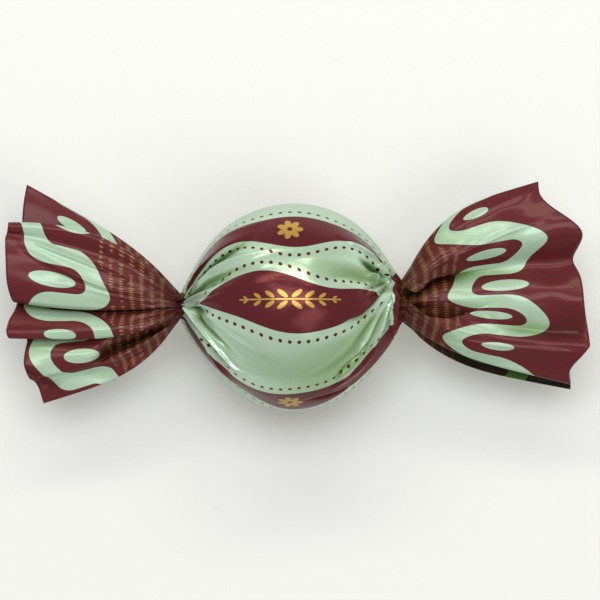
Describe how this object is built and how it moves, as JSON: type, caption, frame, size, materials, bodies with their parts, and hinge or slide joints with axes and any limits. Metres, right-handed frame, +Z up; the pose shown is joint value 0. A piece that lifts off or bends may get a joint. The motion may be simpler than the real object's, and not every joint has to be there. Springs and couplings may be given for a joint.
{
  "type": "wrapped chocolate truffle",
  "caption": "Round chocolate truffle in a printed twist wrapper: a film-covered ball between two gathered necks and flat pleated tails.",
  "frame": {"origin": "middle of the small flat spot that the ball rests on", "axes": "+X along the wrapper from tail to tail, +Y across it, +Z up, so that the side shown in the picture faces up"},
  "size_m": [0.106, 0.0412, 0.0363],
  "materials": {
    "printed_film": "satin metallised sweet-wrapper film, printed in burgundy and pale mint green, with small ornaments in dull gold"
  },
  "bodies": {
    "root": {"wrapped_truffle": "printed_film"}
  },
  "joints": []
}
